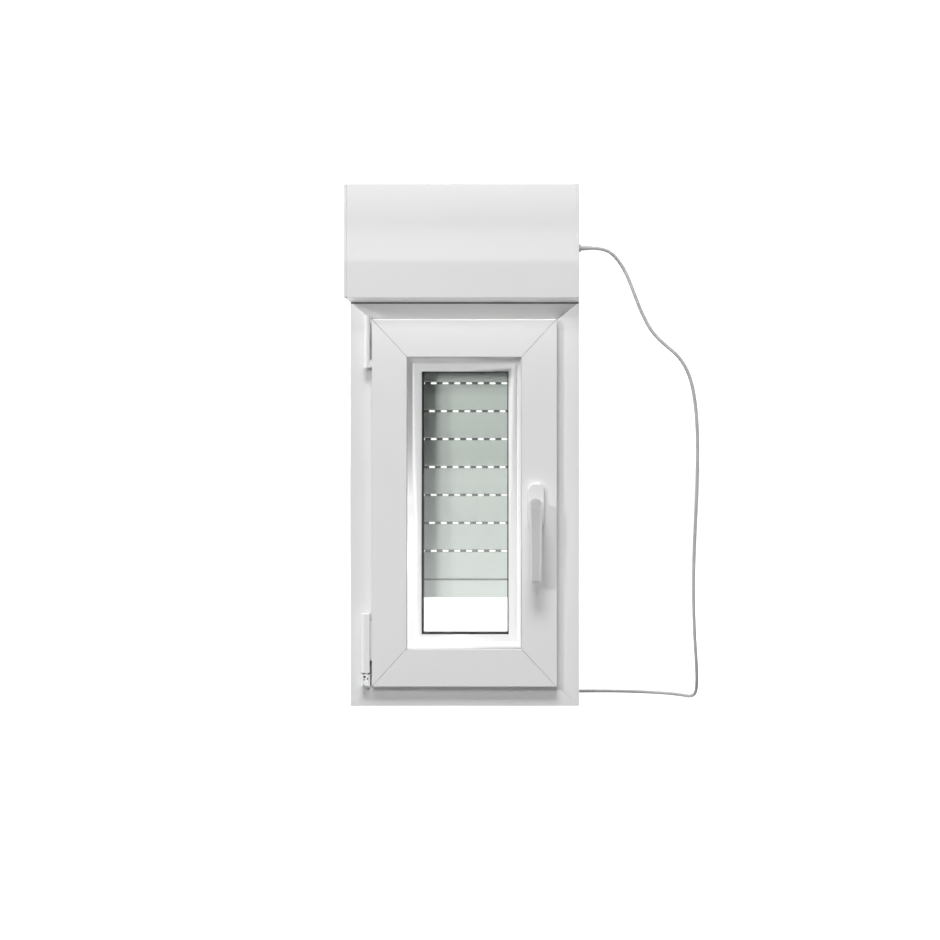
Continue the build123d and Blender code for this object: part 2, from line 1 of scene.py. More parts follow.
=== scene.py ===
"""Looks of the window with its motorised shutter box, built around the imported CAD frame. Metres, +Z up."""

import json
import math

import bmesh
import bpy
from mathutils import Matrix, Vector


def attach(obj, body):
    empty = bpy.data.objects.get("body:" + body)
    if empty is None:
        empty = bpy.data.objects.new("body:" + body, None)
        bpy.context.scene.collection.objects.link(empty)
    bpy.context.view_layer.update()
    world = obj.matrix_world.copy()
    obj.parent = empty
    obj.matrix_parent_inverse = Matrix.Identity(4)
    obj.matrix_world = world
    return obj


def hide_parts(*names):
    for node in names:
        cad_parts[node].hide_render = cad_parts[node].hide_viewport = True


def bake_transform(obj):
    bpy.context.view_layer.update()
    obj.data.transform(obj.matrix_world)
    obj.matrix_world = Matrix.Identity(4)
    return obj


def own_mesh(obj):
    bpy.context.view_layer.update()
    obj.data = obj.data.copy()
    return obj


MM = 0.001

# Camera: square to the window, opposite the right end of the shutter box
CAMERA_PLACE = (0.196, -3.76, 0.442)
CAMERA_LENS = 82.34
CAMERA_SHIFT = (-0.1137, -0.018)

# Light: the world's strength on the room side, outdoors and to the camera, how softly it changes, the floor's
# own strength, reach and gap below the object, and the lamps
ROOM_GLOW = 0.07
OUTDOOR_GLOW = 0.62
BACKDROP_GLOW = 1.3
GLOW_BLEND = 0.15
FLOOR_GLOW = 0.75
FLOOR_REACH = 60
FLOOR_DROP = 0.0005
LAMPS = {
    # name: (place, aim, size, power)
    "front_strip": ((-0.1, -3.4, 2.2), (0, 0, 0.6), (1.4, 0.25), 16),
    "left": ((-2.0, -3.2, 1.5), (0, 0, 0.45), (0.3, 0.3), 36),
    "right_side": ((3.2, -1.1, 0.7), (0, 0, 0.45), (1.0, 2.0), 10),
    "above": ((-0.5, -5.3, 9), (0, 0, 0.3), (4.3, 2.6), 760),
    "into_opening": ((-0.9, -2.85, 0.8), (0, 0, 0.35), (0.5, 0.5), 42),
    "bead_fill": ((0.2, -2.2, 0.05), (0, 0, 0.5), (1.0, 0.4), 17),
    "rim_left": ((-2.9, -0.95, 0.5), (0.12, 0, 0.3), (0.6, 1.6), 30),
    "rim_right": ((3.1, -0.95, 0.5), (0.12, 0, 0.3), (0.6, 1.6), 30),
    "from_below": ((0, -1.3, 0.02), (0, 0, 0.7), (1.6, 0.9), 27),
    "back_soft": ((1.2, 3.6, 2.2), (0, 0, 0.45), (2.0, 2.0), 60),
}

# Supply cable: the same route as the CAD tube, in millimetres, up to where the coil begins
CABLE_DIAMETER = 0.006
CABLE_EXIT = (222, 0, 800.5)
CABLE_ROUTE = [
    CABLE_EXIT,
    (243, 0, 800),
    (263, 0, 787),
    (281, 0, 760),
    (294, 0, 727),
    (308, 0, 690),
    (326, 0, 655),
    (349, 0, 632),
    (375, 0, 611),
    (393, 2, 580),
    (403, 6, 538),
    (408, 12, 478),
    (408, 18, 405),
    (405, 25, 328),
    (402, 32, 250),
    (402, 39, 175),
    (405, 47, 108),
    (409, 58, 58),
    (410, 78, 18),
    (404, 110, 3.4),
    (385, 148, 3.2),
    (350, 180, 3.2),
    (300, 202, 3.2),
    (245, 210, 3.2),
    (200, 206, 3.2),
]
COIL_CENTRE = (150, 165)
COIL_OUTER = 39
COIL_INNER = 32.6
COIL_RISE = 6.05
COIL_FLOOR = 4.0
COIL_TAIL = (31, 28, 24.5)
POINTS_PER_TURN = 16

# The cable's bare cores: how far apart, how thick, and how they reach out and bend away
CORE_SPACING = 1.7
CORE_RADIUS = 0.8
CORE_BENDS = ((5, 0.6), (9, 1.6), (13, 3.2))
CORE_COLOURS = {"brown": (0.12, 0.045, 0.02), "blue": (0.02, 0.09, 0.35), "green": (0.05, 0.3, 0.06)}
FERRULE_RADIUS = 0.65
FERRULE_REACH = (-0.5, 2.5, 6)

# Cable tie: its place round the coil, its gap to the coil's centrelines, its wall and half its width
TIE_ANGLE = 205
TIE_GAP = 4.0
TIE_BOTTOM = 0.15
TIE_CORNER = 3.4
TIE_WALL = 0.8
TIE_HALF_WIDTH = 2.2

# Handle: the lever's axis, the middle of the rosette, and the front and back of its cover
HANDLE_X, HANDLE_Z, ROSETTE_Z = 125, 352, 350
COVER_FRONT, COVER_BACK = -28.25, -18.1
COVER_HALF_WIDTH, COVER_HALF_HEIGHT, COVER_FILLET = 14.8, 40.3, 3.0
COVER_HOLE = 5.6
COVER_WALL = 0.2

# Welded corners: the groove, and where its ends lie on the sash and on the frame (x, bottom z, top z)
SEAM_WIDTH = 1.3
SEAM_DEPTH = 0.35
SASH_FACE, FRAME_FACE = -18, 0
SASH_OUTER, SASH_INNER = (160.6, 35.4, 674.6), (100.4, 100.6, 609.4)
FRAME_OUTER, FRAME_INNER = (199.6, 0.4, 705.6), (153.4, 42.6, 667.4)

# Dark strip between the head and the shutter box: painted shade, the shadow line under the box
SHADE_STRIP_HALF_WIDTH, SHADE_STRIP_BOTTOM, SHADE_STRIP_TOP = 199.4, 703.2, 705.9
SHADE_STRIP_FRONT, SHADE_STRIP_BACK = -0.9, 0.4

# Adjusting screws of the bottom hinge: name, x, z, radius
HINGE_SCREWS = (("lift", -173.5, 52.5, 2.1), ("side", -168.6, 49.0, 1.5), ("tilt", -174.2, 47.4, 1.3))
SCREW_FRONT, SCREW_BACK = -18.2, -16.8

# Curtain: where the hangers leave the tube and meet the top slat, in metres, and in how many steps the strips
# are cut across
HANGER_ON_TUBE = (0, 0.012, 0.840)
HANGER_ON_SLAT = (0, 0.091, 0.869)
HANGER_CUTS = 16

# Edges: what counts as an edge and as a flat face, in degrees, and the distance that closes a mesh, in metres
EDGE_ANGLE = 28
FLAT_ANGLE = 0.6
CLOSE_DISTANCE = 0.00001

# Share of a slat's height where the painted shade on its recessed neck begins, and the share over which it
# darkens
NECK_SHADE_FROM = 0.9
NECK_SHADE_BLEND = 0.012
WHITE = (0.866, 0.866, 0.864)


# ---------------------------------------------------------------- materials


def new_material(name):
    material = bpy.data.materials.new(name)
    material.use_nodes = True
    tree = material.node_tree
    return material, tree, tree.nodes["Principled BSDF"]


def object_coordinates(tree, scale=(1, 1, 1)):
    coordinates = tree.nodes.new("ShaderNodeTexCoord")
    mapping = tree.nodes.new("ShaderNodeMapping")
    mapping.inputs["Scale"].default_value = scale
    tree.links.new(coordinates.outputs["Object"], mapping.inputs["Vector"])
    return mapping.outputs["Vector"]


def noise(tree, vector, scale, detail=3, roughness=0.5):
    node = tree.nodes.new("ShaderNodeTexNoise")
    node.inputs["Scale"].default_value = scale
    node.inputs["Detail"].default_value = detail
    node.inputs["Roughness"].default_value = roughness
    tree.links.new(vector, node.inputs["Vector"])
    return node.outputs["Fac"]


def spread(tree, value, low, high):
    """Maps a noise value to a range, for roughness and such."""
    node = tree.nodes.new("ShaderNodeMapRange")
    node.inputs["From Min"].default_value = 0.3
    node.inputs["From Max"].default_value = 0.7
    node.inputs["To Min"].default_value = low
    node.inputs["To Max"].default_value = high
    tree.links.new(value, node.inputs["Value"])
    return node.outputs["Result"]


def tint(tree, value, dark, light):
    ramp = tree.nodes.new("ShaderNodeValToRGB")
    ramp.color_ramp.interpolation = "EASE"
    ramp.color_ramp.elements[0].position = 0.2
    ramp.color_ramp.elements[1].position = 0.8
    ramp.color_ramp.elements[0].color = (*dark, 1)
    ramp.color_ramp.elements[1].color = (*light, 1)
    tree.links.new(value, ramp.inputs["Fac"])
    return ramp.outputs["Color"]


def bump(tree, shader, height, strength, distance, below=None):
    node = tree.nodes.new("ShaderNodeBump")
    node.inputs["Strength"].default_value = strength
    node.inputs["Distance"].default_value = distance
    tree.links.new(height, node.inputs["Height"])
    if below is not None:
        tree.links.new(below, node.inputs["Normal"])
    tree.links.new(node.outputs["Normal"], shader.inputs["Normal"])
    return node.outputs["Normal"]


def plastic(name, colour, roughness, coat=0.0, grain=700, grain_depth=0.00004, wave=0.0003, variation=0.008):
    """Moulded or extruded plastic: fine orange-peel grain over long, shallow waves of the extrusion."""
    material, tree, shader = new_material(name)
    vector = object_coordinates(tree)
    patches = noise(tree, vector, 7, 2)
    dark = tuple(c * (1 - variation) for c in colour)
    light = tuple(min(1, c * (1 + variation / 2)) for c in colour)
    tree.links.new(tint(tree, patches, dark, light), shader.inputs["Base Color"])
    smudges = noise(tree, vector, 22, 3)
    tree.links.new(spread(tree, smudges, roughness * 0.92, roughness * 1.08), shader.inputs["Roughness"])
    below = bump(tree, shader, noise(tree, vector, 14, 1), 0.5, wave)
    bump(tree, shader, noise(tree, vector, grain, 2), 0.35, grain_depth, below)
    shader.inputs["Coat Weight"].default_value = coat
    shader.inputs["Coat Roughness"].default_value = 0.12
    shader.inputs["IOR"].default_value = 1.52
    return material


def metal(name, colour, roughness, along=(1, 1, 1), metallic=1.0, depth=0.00004):
    """Metal with fine drawing lines: the noise is stretched along the direction of its smallest scale."""
    material, tree, shader = new_material(name)
    vector = object_coordinates(tree, along)
    lines = noise(tree, vector, 600, 3)
    patches = noise(tree, object_coordinates(tree), 14, 4)
    dark = tuple(c * 0.93 for c in colour)
    tree.links.new(tint(tree, patches, dark, colour), shader.inputs["Base Color"])
    tree.links.new(spread(tree, lines, roughness * 0.8, roughness * 1.25), shader.inputs["Roughness"])
    bump(tree, shader, lines, 0.4, depth)
    shader.inputs["Metallic"].default_value = metallic
    return material


def zinc(name):
    """Hot-dip zinc: faint angular spangle in colour and roughness."""
    material, tree, shader = new_material(name)
    vector = object_coordinates(tree)
    cells = tree.nodes.new("ShaderNodeTexVoronoi")
    cells.inputs["Scale"].default_value = 120
    tree.links.new(vector, cells.inputs["Vector"])
    split = tree.nodes.new("ShaderNodeSeparateColor")
    tree.links.new(cells.outputs["Color"], split.inputs["Color"])
    colour = tint(tree, split.outputs["Red"], (0.5, 0.52, 0.54), (0.68, 0.7, 0.72))
    tree.links.new(colour, shader.inputs["Base Color"])
    tree.links.new(spread(tree, split.outputs["Green"], 0.32, 0.5), shader.inputs["Roughness"])
    shader.inputs["Metallic"].default_value = 1.0
    return material


def lacquer(name):
    """Slat lacquer: satin over roll-formed sheet, with faint lines along it, and painted shade, near black,
    on the recessed neck on top.
    """
    material, tree, shader = new_material(name)
    along = object_coordinates(tree, (0.02, 1, 1))
    lines = noise(tree, along, 420, 3)
    patches = noise(tree, object_coordinates(tree, (0.3, 1, 1)), 12, 4)
    coat = tint(tree, patches, (0.735, 0.765, 0.74), (0.765, 0.795, 0.77))
    own_box = tree.nodes.new("ShaderNodeTexCoord")
    split = tree.nodes.new("ShaderNodeSeparateXYZ")
    tree.links.new(own_box.outputs["Generated"], split.inputs["Vector"])
    neck = tree.nodes.new("ShaderNodeMapRange")
    neck.inputs["From Min"].default_value = NECK_SHADE_FROM
    neck.inputs["From Max"].default_value = NECK_SHADE_FROM + NECK_SHADE_BLEND
    tree.links.new(split.outputs["Z"], neck.inputs["Value"])
    mix = tree.nodes.new("ShaderNodeMix")
    mix.data_type = "RGBA"
    colour_a, neck_shade_colour = (socket for socket in mix.inputs if socket.type == "RGBA")
    # Painted shade: the recessed neck between the slots is coloured near black
    neck_shade_colour.default_value = (0.16, 0.165, 0.155, 1)
    tree.links.new(neck.outputs["Result"], mix.inputs[0])
    tree.links.new(coat, colour_a)
    blended = next(socket for socket in mix.outputs if socket.type == "RGBA")
    tree.links.new(blended, shader.inputs["Base Color"])
    tree.links.new(spread(tree, lines, 0.36, 0.5), shader.inputs["Roughness"])
    bump(tree, shader, lines, 0.25, 0.00005)
    return material


def glass(name):
    """Clear float glass as a thin pane: it mirrors a little by its angle and passes the rest straight on."""
    material = bpy.data.materials.new(name)
    material.use_nodes = True
    tree = material.node_tree
    tree.nodes.remove(tree.nodes["Principled BSDF"])
    through = tree.nodes.new("ShaderNodeBsdfTransparent")
    through.inputs["Color"].default_value = (0.985, 0.992, 0.987, 1)
    mirror = tree.nodes.new("ShaderNodeBsdfGlossy")
    mirror.inputs["Color"].default_value = (1, 1, 1, 1)
    smear = noise(tree, object_coordinates(tree, (1, 1, 0.4)), 20, 4)
    tree.links.new(spread(tree, smear, 0.01, 0.06), mirror.inputs["Roughness"])
    fresnel = tree.nodes.new("ShaderNodeFresnel")
    fresnel.inputs["IOR"].default_value = 1.45
    mix = tree.nodes.new("ShaderNodeMixShader")
    tree.links.new(fresnel.outputs["Fac"], mix.inputs["Fac"])
    tree.links.new(through.outputs["BSDF"], mix.inputs[1])
    tree.links.new(mirror.outputs["BSDF"], mix.inputs[2])
    tree.links.new(mix.outputs["Shader"], tree.nodes["Material Output"].inputs["Surface"])
    return material


def rubber(name, colour, roughness=0.6):
    material, tree, shader = new_material(name)
    vector = object_coordinates(tree)
    patches = noise(tree, vector, 60, 4)
    tree.links.new(tint(tree, patches, tuple(c * 0.8 for c in colour), colour), shader.inputs["Base Color"])
    tree.links.new(spread(tree, patches, roughness * 0.85, roughness), shader.inputs["Roughness"])
    bump(tree, shader, noise(tree, vector, 1500, 2), 0.4, 0.00005)
    return material


def pile(name):
    """Brush seal: dense dark fibres standing out of the strip."""
    material, tree, shader = new_material(name)
    fibres = noise(tree, object_coordinates(tree, (1, 1, 9)), 400, 3)
    tree.links.new(tint(tree, fibres, (0.05, 0.05, 0.055), (0.22, 0.22, 0.23)), shader.inputs["Base Color"])
    shader.inputs["Roughness"].default_value = 0.95
    shader.inputs["Sheen Weight"].default_value = 0.4
    bump(tree, shader, fibres, 0.9, 0.0006)
    return material


def foam(name):
    """Bead foam: round beads pressed together."""
    material, tree, shader = new_material(name)
    beads = tree.nodes.new("ShaderNodeTexVoronoi")
    beads.inputs["Scale"].default_value = 260
    tree.links.new(object_coordinates(tree), beads.inputs["Vector"])
    distance = beads.outputs["Distance"]
    tree.links.new(tint(tree, distance, (0.34, 0.35, 0.37), (0.24, 0.25, 0.27)), shader.inputs["Base Color"])
    shader.inputs["Roughness"].default_value = 0.9
    bump(tree, shader, distance, 0.6, -0.0006)
    return material


def make_materials():
    return {
        "pvc_white": plastic("pvc_white", WHITE, 0.3, coat=0.35),
        "cap_white": plastic("cap_white", (0.85, 0.85, 0.848), 0.36),
        "galvanised_steel": zinc("galvanised_steel"),
        "gasket_grey": rubber("gasket_grey", (0.05, 0.052, 0.055)),
        "handle_white": plastic("handle_white", (0.87, 0.87, 0.868), 0.26, coat=0.4, grain=1100),
        "zinc_steel": metal("zinc_steel", (0.72, 0.72, 0.71), 0.25),
        "hinge_bearing_silver": metal("hinge_bearing_silver", (0.62, 0.63, 0.64), 0.34),
        "hinge_cover_white": plastic("hinge_cover_white", (0.82, 0.82, 0.818), 0.32),
        "clear_glass": glass("clear_glass"),
        "spacer_aluminium": metal("spacer_aluminium", (0.78, 0.79, 0.8), 0.3, (0.1, 1, 0.1)),
        "foam_grey": foam("foam_grey"),
        "rail_aluminium": plastic("rail_aluminium", (0.82, 0.82, 0.818), 0.34, grain=900, wave=0.0001),
        "brush_grey": pile("brush_grey"),
        "motor_black": metal("motor_black", (0.05, 0.05, 0.055), 0.42, (0.05, 1, 1), metallic=0.6),
        "drive_plastic": plastic("drive_plastic", (0.06, 0.06, 0.065), 0.45),
        "slat_lacquer": lacquer("slat_lacquer"),
        "cable_sheath": rubber("cable_sheath", (0.62, 0.62, 0.615), 0.5),
        "core_ferrule": metal("core_ferrule", (0.75, 0.72, 0.66), 0.28),
    }


def dress_nodes(frame, materials):
    """Every CAD node takes the material of its slot in the record."""
    slots = {entry["node"]: entry["material_slot"] for entry in frame["record"]["subparts"]}
    for name, obj in frame["nodes"].items():
        obj.data.materials.clear()
        obj.data.materials.append(materials[slots[name]])


# ---------------------------------------------------------------- CAD nodes' edges


def smooth_faces(obj):
    """Smooth shading on a closed mesh, with each flat face in one piece, so that rounds don't pull at it."""
    attribute = obj.data.attributes.get("custom_normal")
    if attribute is not None:
        obj.data.attributes.remove(attribute)
    obj.data.shade_smooth()
    weld = obj.modifiers.new("weld", "WELD")
    weld.merge_threshold = CLOSE_DISTANCE
    flat = obj.modifiers.new("flat", "DECIMATE")
    flat.decimate_type = "DISSOLVE"
    flat.angle_limit = math.radians(FLAT_ANGLE)


def even_normals(obj):
    normals = obj.modifiers.new("even", "WEIGHTED_NORMAL")
    normals.keep_sharp = True


def round_edges(obj, width, segments):
    """Real edges aren't knife sharp: a small round, width in millimetres, on every edge."""
    bevel = obj.modifiers.new("round", "BEVEL")
    bevel.width = width * MM
    bevel.segments = segments
    bevel.limit_method = "ANGLE"
    bevel.angle_limit = math.radians(EDGE_ANGLE)
    even_normals(obj)


# Width of the round on the edges of CAD nodes, in millimetres
EDGE_WIDTHS = {
    "sash_stile_left": 1.3, "sash_stile_right": 1.3, "sash_rail_top": 1.3, "sash_rail_bottom": 1.3,
    "frame_jamb_left": 0.9, "frame_jamb_right": 0.9, "frame_head": 0.9, "frame_bottom": 0.9,
    "glazing_beads": 0.7, "box_front_panel": 0.5, "box_shell": 0.6, "box_bottom_panel": 0.6,
    "box_endcap_left": 1.2, "box_endcap_right": 1.2, "guide_rail_left": 0.6, "guide_rail_right": 0.6,
    "handle_lever": 0.6, "handle_rosette": 0.6, "hinge_top_bearing": 0.3, "hinge_top_cover": 0.3,
    "hinge_bottom_bracket": 0.4, "hinge_bottom_cover": 0.8, "hinge_bottom_pivot": 0.4, "end_slat": 0.7,
    "lock_gearbox": 0.3, "lock_keeps": 0.3, "drive_rod": 0.3, "motor_bracket": 0.5, "idler_bracket": 0.5,
    "motor": 0.6, "winding_tube": 0.3, "motor_crown": 0.3, "drive_wheel": 0.4, "idler_cap": 0.4,
    "cable_gland": 0.4, "pane_indoor": 0.3, "pane_outdoor": 0.3,
}


def finish_edges(nodes):
    for name, obj in nodes.items():
        if name in EDGE_WIDTHS:
            smooth_faces(obj)
            round_edges(obj, EDGE_WIDTHS[name], 3)


# ---------------------------------------------------------------- cable


def coil_point(angle, radius, height):
    turn = math.radians(angle)
    return (COIL_CENTRE[0] + radius * math.cos(turn), COIL_CENTRE[1] + radius * math.sin(turn), height)


def coil_points():
    """Three turns up on the outside, about a third of a turn inwards on top, then down on the inside."""
    step = 360 / POINTS_PER_TURN
    rise = COIL_RISE / POINTS_PER_TURN
    outer_steps, shift_steps, inner_steps = 3 * POINTS_PER_TURN, 5, int(2.5 * POINTS_PER_TURN)
    top = COIL_FLOOR + outer_steps * rise
    points = [coil_point(90 + i * step, COIL_OUTER, COIL_FLOOR + i * rise) for i in range(outer_steps + 1)]
    angle = 90 + outer_steps * step
    for i in range(1, shift_steps + 1):
        radius = COIL_OUTER + (COIL_INNER - COIL_OUTER) * i / shift_steps
        points.append(coil_point(angle + i * step, radius, top))
    angle += shift_steps * step
    fall = (top - COIL_FLOOR) / inner_steps
    for i in range(1, inner_steps + 1):
        points.append(coil_point(angle + i * step, COIL_INNER, top - i * fall))
    angle += inner_steps * step
    for i, radius in enumerate(COIL_TAIL, start=1):
        points.append(coil_point(angle + i * step, radius, COIL_FLOOR))
    return points


def nurbs(name, points, radius, material, resolution=8):
    data = bpy.data.curves.new(name, "CURVE")
    data.dimensions = "3D"
    spline = data.splines.new("NURBS")
    spline.points.add(len(points) - 1)
    for target, point in zip(spline.points, points):
        target.co = (*(value * MM for value in point), 1)
    spline.order_u = 3
    spline.use_endpoint_u = True
    data.resolution_u = resolution
    data.bevel_depth = radius
    data.bevel_resolution = 5
    data.use_fill_caps = True
    data.materials.append(material)
    obj = bpy.data.objects.new(name, data)
    bpy.context.scene.collection.objects.link(obj)
    return obj


def core(name, points, radius, material):
    obj = nurbs(name, points, radius, material, 6)
    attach(obj, "frame")
    return obj


def make_cable(materials):
    route = CABLE_ROUTE + coil_points()
    cable = nurbs("supply_cable", route, CABLE_DIAMETER / 2, materials["cable_sheath"])
    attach(cable, "frame")
    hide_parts("cable", "cable_coil")
    end, before = Vector(route[-1]), Vector(route[-2])
    heading = (end - before).normalized()
    across = Vector((-heading.y, heading.x, 0))
    pieces = []
    for (colour_name, colour), side in zip(CORE_COLOURS.items(), (-CORE_SPACING, 0, CORE_SPACING)):
        sheath = plastic(f"core_{colour_name}", colour, 0.4)
        start = end + across * side * 0.6 - heading * 1.5
        points = [start]
        for reach, bend in CORE_BENDS:
            points.append(end + heading * reach + across * (side * 1.25 + bend))
        core_piece = core(f"core_{colour_name}", points, CORE_RADIUS * MM, sheath)
        tip = points[-1]
        aim = (points[-1] - points[-2]).normalized()
        ferrule_points = [tip + aim * reach for reach in FERRULE_REACH]
        metal_end = materials["core_ferrule"]
        ferrule = core(f"ferrule_{colour_name}", ferrule_points, FERRULE_RADIUS * MM, metal_end)
        pieces += [core_piece, ferrule]
    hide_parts("cable_cores")
    make_tie(materials)


# ---------------------------------------------------------------- small pieces


def ring_faces(first, second, count):
    """Faces between two loops of count points, which begin at these vertices."""
    return [(first + i, first + (i + 1) % count, second + (i + 1) % count, second + i) for i in range(count)]


def bar_faces(count):
    """Faces of a bar whose two end outlines of count points follow each other."""
    return [tuple(range(count)), tuple(reversed(range(count, 2 * count))), *ring_faces(0, count, count)]


def mesh_piece(name, vertices, faces, material, body):
    mesh = bpy.data.meshes.new(name)
    mesh.from_pydata([tuple(value * MM for value in vertex) for vertex in vertices], [], faces)
    mesh.validate()
    mesh.materials.append(material)
    obj = bpy.data.objects.new(name, mesh)
    bpy.context.scene.collection.objects.link(obj)
    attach(obj, body)
    return obj


def prism(name, outline, low, high, material, body, axis="y"):
    """A closed outline (first and second coordinate) pulled from low to high along the axis."""
    def place(u, v, w):
        return {"x": (w, u, v), "y": (u, w, v), "z": (u, v, w)}[axis]

    vertices = [place(u, v, low) for u, v in outline] + [place(u, v, high) for u, v in outline]
    obj = mesh_piece(name, vertices, bar_faces(len(outline)), material, body)
    fix_normals(obj.data)
    return obj


def fix_normals(mesh):
    work = bmesh.new()
    work.from_mesh(mesh)
    bmesh.ops.recalc_face_normals(work, faces=work.faces)
    work.to_mesh(mesh)
    work.free()


def soften(obj, width, segments=2):
    obj.data.shade_smooth()
    round_edges(obj, width, segments)


def rounded(width, height, radius, centre=(0, 0), steps=6):
    points = []
    for quarter, (sx, sy) in enumerate(((1, 1), (-1, 1), (-1, -1), (1, -1))):
        for i in range(steps + 1):
            turn = math.radians(90 * quarter + 90 * i / steps)
            x = centre[0] + sx * (width / 2 - radius) + radius * math.cos(turn)
            y = centre[1] + sy * (height / 2 - radius) + radius * math.sin(turn)
            points.append((x, y))
    return points


def disc(radius, centre, steps=32):
    turns = [2 * math.pi * i / steps for i in range(steps)]
    return [(centre[0] + radius * math.cos(t), centre[1] + radius * math.sin(t)) for t in turns]


def weld_seam(name, outer, inner, face, body, material):
    """The milled groove of a welded corner: a shallow V between the two bars, just under their face, coloured
    dark grey as painted shade in the groove.
    """
    start, end = Vector(outer), Vector(inner)
    along = (end - start).normalized()
    side = Vector((-along.y, along.x)) * SEAM_WIDTH / 2
    back = SEAM_DEPTH + 1
    profile = ((-1, SEAM_DEPTH), (0, SEAM_DEPTH + 0.25), (1, SEAM_DEPTH), (1, back), (-1, back))
    vertices = []
    for point in (start, end):
        for shift, depth in profile:
            place = point + side * shift
            vertices.append((place.x, face + depth, place.y))
    obj = mesh_piece(name, vertices, bar_faces(len(profile)), material, body)
    fix_normals(obj.data)


def make_seams():
    """Welded corners of the sash and of the fixed frame."""
    # Painted shade: the grooves are dark grey so that they show as shadow lines
    grey = plastic("weld_groove", (0.2, 0.2, 0.2), 0.6)
    bodies = (("sash", SASH_FACE, SASH_OUTER, SASH_INNER), ("frame", FRAME_FACE, FRAME_OUTER, FRAME_INNER))
    for body, face, outer, inner in bodies:
        for side, sign in (("left", -1), ("right", 1)):
            for level, index in (("bottom", 1), ("top", 2)):
                start, end = (sign * outer[0], outer[index]), (sign * inner[0], inner[index])
                weld_seam(f"{body}_seam_{level}_{side}", start, end, face, body, grey)


def make_box_shade_strip(materials):
    """Dark strip that paints the shadow line between the head and the shutter box."""
    outline = [(-SHADE_STRIP_HALF_WIDTH, SHADE_STRIP_BOTTOM), (SHADE_STRIP_HALF_WIDTH, SHADE_STRIP_BOTTOM),
               (SHADE_STRIP_HALF_WIDTH, SHADE_STRIP_TOP), (-SHADE_STRIP_HALF_WIDTH, SHADE_STRIP_TOP)]
    # Painted shade: a dark grey strip stands for the shadow line under the box
    strip = prism("box_seal", outline, SHADE_STRIP_FRONT, SHADE_STRIP_BACK,
                  materials["gasket_grey"], "frame")
    soften(strip, 0.3)


def make_drain_caps(materials):
    """Two louvred caps over the drain slots of the bottom bar, on the outdoor face."""
    for side, x in (("left", -95), ("right", 95)):
        cap = prism(f"drain_cap_{side}", rounded(38, 11, 4, (x, 22)), 69.9, 73.2,
                    materials["pvc_white"], "frame")
        soften(cap, 1.0, 3)
        hood = prism(f"drain_hood_{side}", rounded(28, 4.5, 2, (x, 23.5)), 73.0, 75.0,
                     materials["pvc_white"], "frame")
        soften(hood, 0.8, 3)


def make_rosette_cover(materials):
    """Snap-on cap over the rosette and its screws, with a hole for the lever's neck."""
    profile = [(0, COVER_BACK)]
    for i in range(7):
        turn = math.radians(15 * i)
        inset, lift = COVER_FILLET * (1 - math.cos(turn)), COVER_FILLET * (1 - math.sin(turn))
        profile.append((inset, COVER_FRONT + lift))
    vertices, faces = [], []
    for inset, y in profile:
        half_width, half_height = COVER_HALF_WIDTH - inset, COVER_HALF_HEIGHT - inset
        outline = rounded(2 * half_width, 2 * half_height, half_width - 0.05, (HANDLE_X, ROSETTE_Z), 10)
        vertices += [(x, y, z) for x, z in outline]
    count = len(outline)
    for depth in (COVER_FRONT, COVER_FRONT + COVER_WALL):
        for x, z in outline:
            turn = math.atan2(z - HANDLE_Z, x - HANDLE_X)
            rim_x, rim_z = HANDLE_X + COVER_HOLE * math.cos(turn), HANDLE_Z + COVER_HOLE * math.sin(turn)
            vertices.append((rim_x, depth, rim_z))
    for k in range(len(profile) + 1):
        faces += ring_faces(k * count, (k + 1) * count, count)
    cover = mesh_piece("rosette_cover", vertices, faces, materials["handle_white"], "sash")
    fix_normals(cover.data)
    cover.data.shade_smooth()
    even_normals(cover)


def make_hinge_screws(materials):
    """Adjusting screws of the bottom bracket: a black socket and the dark end of the tilt pin."""
    for name, x, z, radius in HINGE_SCREWS:
        screw = prism(f"hinge_screw_{name}", disc(radius, (x, z), 20), SCREW_FRONT, SCREW_BACK,
                      materials["drive_plastic"], "corner_pivot")
        soften(screw, 0.2)


def make_tie(materials):
    """Strap that holds the put-away coil together, round its cross-section."""
    turn = math.radians(TIE_ANGLE)
    radial, across = Vector((math.cos(turn), math.sin(turn))), Vector((-math.sin(turn), math.cos(turn)))
    low, high = TIE_BOTTOM, COIL_FLOOR + 3 * COIL_RISE + TIE_GAP
    inner, outer = COIL_INNER - TIE_GAP, COIL_OUTER + TIE_GAP
    middle = ((inner + outer) / 2, (low + high) / 2)
    loops = []
    for inset in (0, TIE_WALL):
        width, height = outer - inner - 2 * inset, high - low - 2 * inset
        loops.append(rounded(width, height, TIE_CORNER - inset, middle))
    vertices = []
    for loop in loops:
        for shift in (-TIE_HALF_WIDTH, TIE_HALF_WIDTH):
            for r, z in loop:
                place = radial * r + across * shift
                vertices.append((COIL_CENTRE[0] + place.x, COIL_CENTRE[1] + place.y, z))
    count = len(loops[0])
    rings = [0, count, 3 * count, 2 * count]
    faces = []
    for k in range(4):
        faces += ring_faces(rings[k], rings[(k + 1) % 4], count)
    tie = mesh_piece("cable_tie", vertices, faces, materials["gasket_grey"], "frame")
    fix_normals(tie.data)
    soften(tie, 0.25)
    return tie


# ---------------------------------------------------------------- curtain


